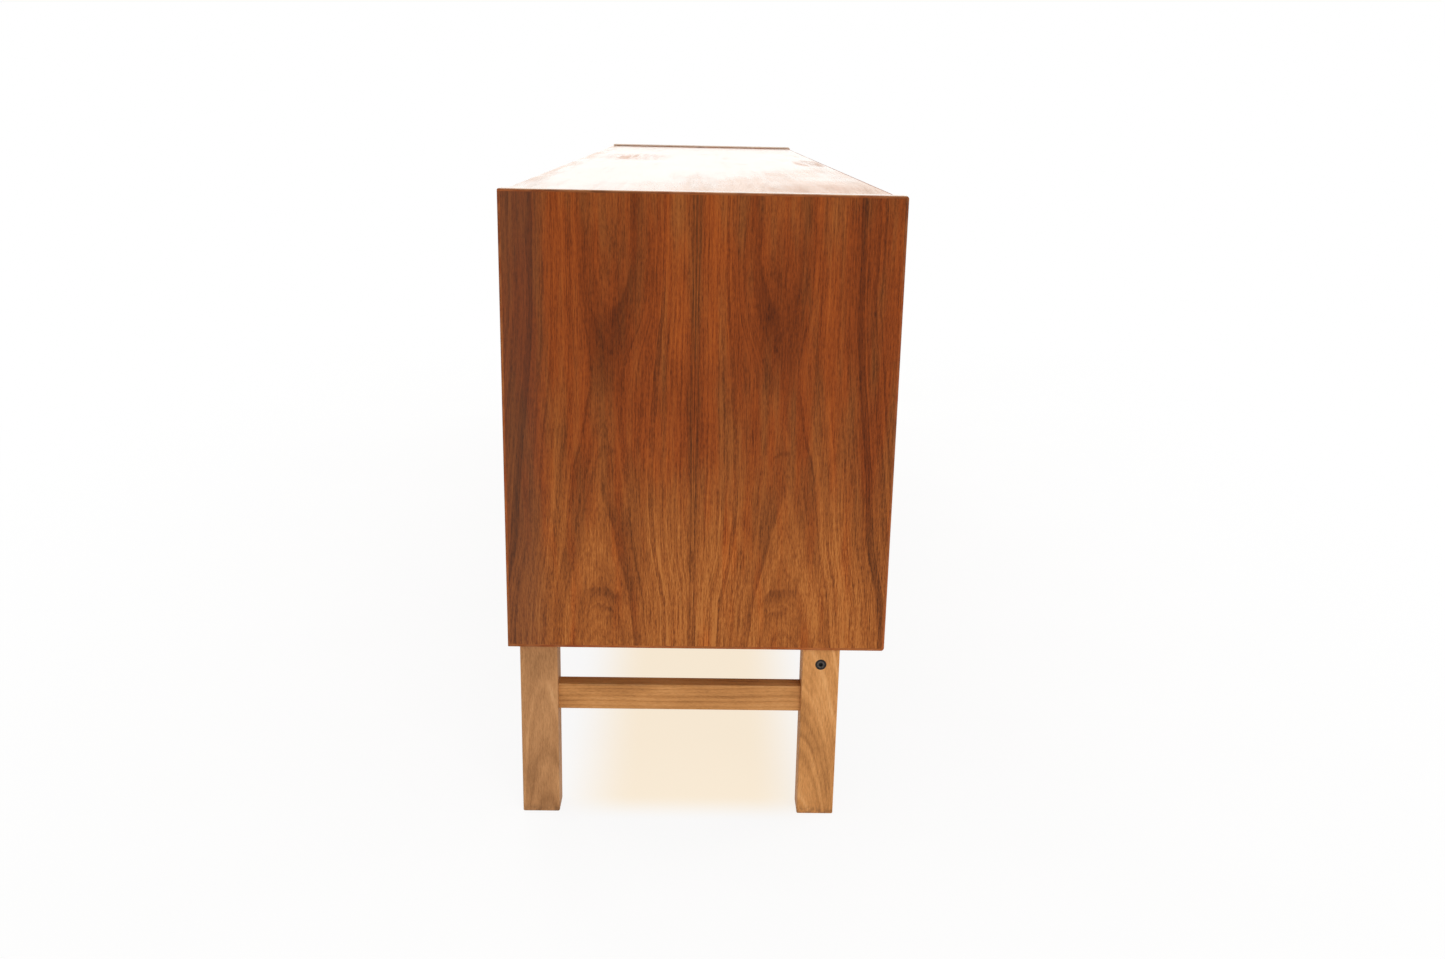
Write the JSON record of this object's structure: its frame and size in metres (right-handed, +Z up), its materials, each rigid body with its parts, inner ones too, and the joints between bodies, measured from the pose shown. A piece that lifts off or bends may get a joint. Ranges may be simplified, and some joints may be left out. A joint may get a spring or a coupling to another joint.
{
  "type": "sideboard buffet",
  "caption": "Long low sideboard on a square-leg frame base: veneered case with raised ends, sliding doors to either side and a bank of drawers in the middle.",
  "frame": {"origin": "on the floor below the middle of the case", "axes": "+X along the length to the right seen from the front, +Y from front to back, +Z up"},
  "size_m": [2, 0.44, 0.74],
  "materials": {
    "walnut_veneer": "figured walnut-toned veneer under satin lacquer",
    "solid_walnut": "solid lippings and pulls in the same tone, satin lacquer",
    "base_wood": "lighter solid wood with straight grain, satin lacquer",
    "light_wood": "pale hardwood, thin lacquer",
    "plywood": "thin plywood, bare",
    "track_plastic": "brown extruded plastic",
    "glide_plastic": "off-white nylon",
    "black_steel": "blackened steel",
    "plain_steel": "bright steel",
    "brass": "dull brass"
  },
  "bodies": {
    "case": {"back_panel": "plywood", "barrel_nuts": "plain_steel", "base_screws": "plain_steel", "bottom_panel": "walnut_veneer", "dowels": "light_wood", "drawer_runners": "light_wood", "end_lippings": "solid_walnut", "front_left_leg": "base_wood", "front_lippings": "solid_walnut", "front_long_rail": "base_wood", "front_right_leg": "base_wood", "left_cross_rail": "base_wood", "left_divider": "walnut_veneer", "left_end_panel": "walnut_veneer", "left_shelf": "light_wood", "leg_bolts": "black_steel", "lower_tracks": "track_plastic", "rear_left_leg": "base_wood", "rear_long_rail": "base_wood", "rear_right_leg": "base_wood", "right_cross_rail": "base_wood", "right_divider": "walnut_veneer", "right_end_panel": "walnut_veneer", "right_shelf": "light_wood", "shelf_pins": "brass", "small_screws": "plain_steel", "top_panel": "walnut_veneer", "upper_tracks": "track_plastic"},
    "left_outer_door": {"left_outer_door_cup": "solid_walnut", "left_outer_door_glides": "glide_plastic", "left_outer_door_panel": "walnut_veneer"},
    "left_inner_door": {"left_inner_door_cup": "solid_walnut", "left_inner_door_glides": "glide_plastic", "left_inner_door_panel": "walnut_veneer"},
    "right_inner_door": {"right_inner_door_cup": "solid_walnut", "right_inner_door_glides": "glide_plastic", "right_inner_door_panel": "walnut_veneer"},
    "right_outer_door": {"right_outer_door_cup": "solid_walnut", "right_outer_door_glides": "glide_plastic", "right_outer_door_panel": "walnut_veneer"},
    "drawer_1": {"drawer_1_back": "light_wood", "drawer_1_bottom": "plywood", "drawer_1_front": "walnut_veneer", "drawer_1_pull": "solid_walnut", "drawer_1_sides": "light_wood"},
    "drawer_2": {"drawer_2_back": "light_wood", "drawer_2_bottom": "plywood", "drawer_2_front": "walnut_veneer", "drawer_2_pull": "solid_walnut", "drawer_2_sides": "light_wood"},
    "drawer_3": {"drawer_3_back": "light_wood", "drawer_3_bottom": "plywood", "drawer_3_front": "walnut_veneer", "drawer_3_pull": "solid_walnut", "drawer_3_sides": "light_wood"},
    "drawer_4": {"drawer_4_back": "light_wood", "drawer_4_bottom": "plywood", "drawer_4_front": "walnut_veneer", "drawer_4_pull": "solid_walnut", "drawer_4_sides": "light_wood"}
  },
  "joints": [
    {"name": "left_outer_door_slide", "type": "slide", "parent": "case", "child": "left_outer_door", "axis": [1, 0, 0], "range_m": [0, 0.346]},
    {"name": "left_inner_door_slide", "type": "slide", "parent": "case", "child": "left_inner_door", "axis": [1, 0, 0], "range_m": [-0.346, 0]},
    {"name": "right_inner_door_slide", "type": "slide", "parent": "case", "child": "right_inner_door", "axis": [1, 0, 0], "range_m": [0, 0.346]},
    {"name": "right_outer_door_slide", "type": "slide", "parent": "case", "child": "right_outer_door", "axis": [1, 0, 0], "range_m": [-0.346, 0]},
    {"name": "drawer_1_slide", "type": "slide", "parent": "case", "child": "drawer_1", "axis": [0, -1, 0], "range_m": [0, 0.26]},
    {"name": "drawer_2_slide", "type": "slide", "parent": "case", "child": "drawer_2", "axis": [0, -1, 0], "range_m": [0, 0.26]},
    {"name": "drawer_3_slide", "type": "slide", "parent": "case", "child": "drawer_3", "axis": [0, -1, 0], "range_m": [0, 0.26]},
    {"name": "drawer_4_slide", "type": "slide", "parent": "case", "child": "drawer_4", "axis": [0, -1, 0], "range_m": [0, 0.26]}
  ]
}
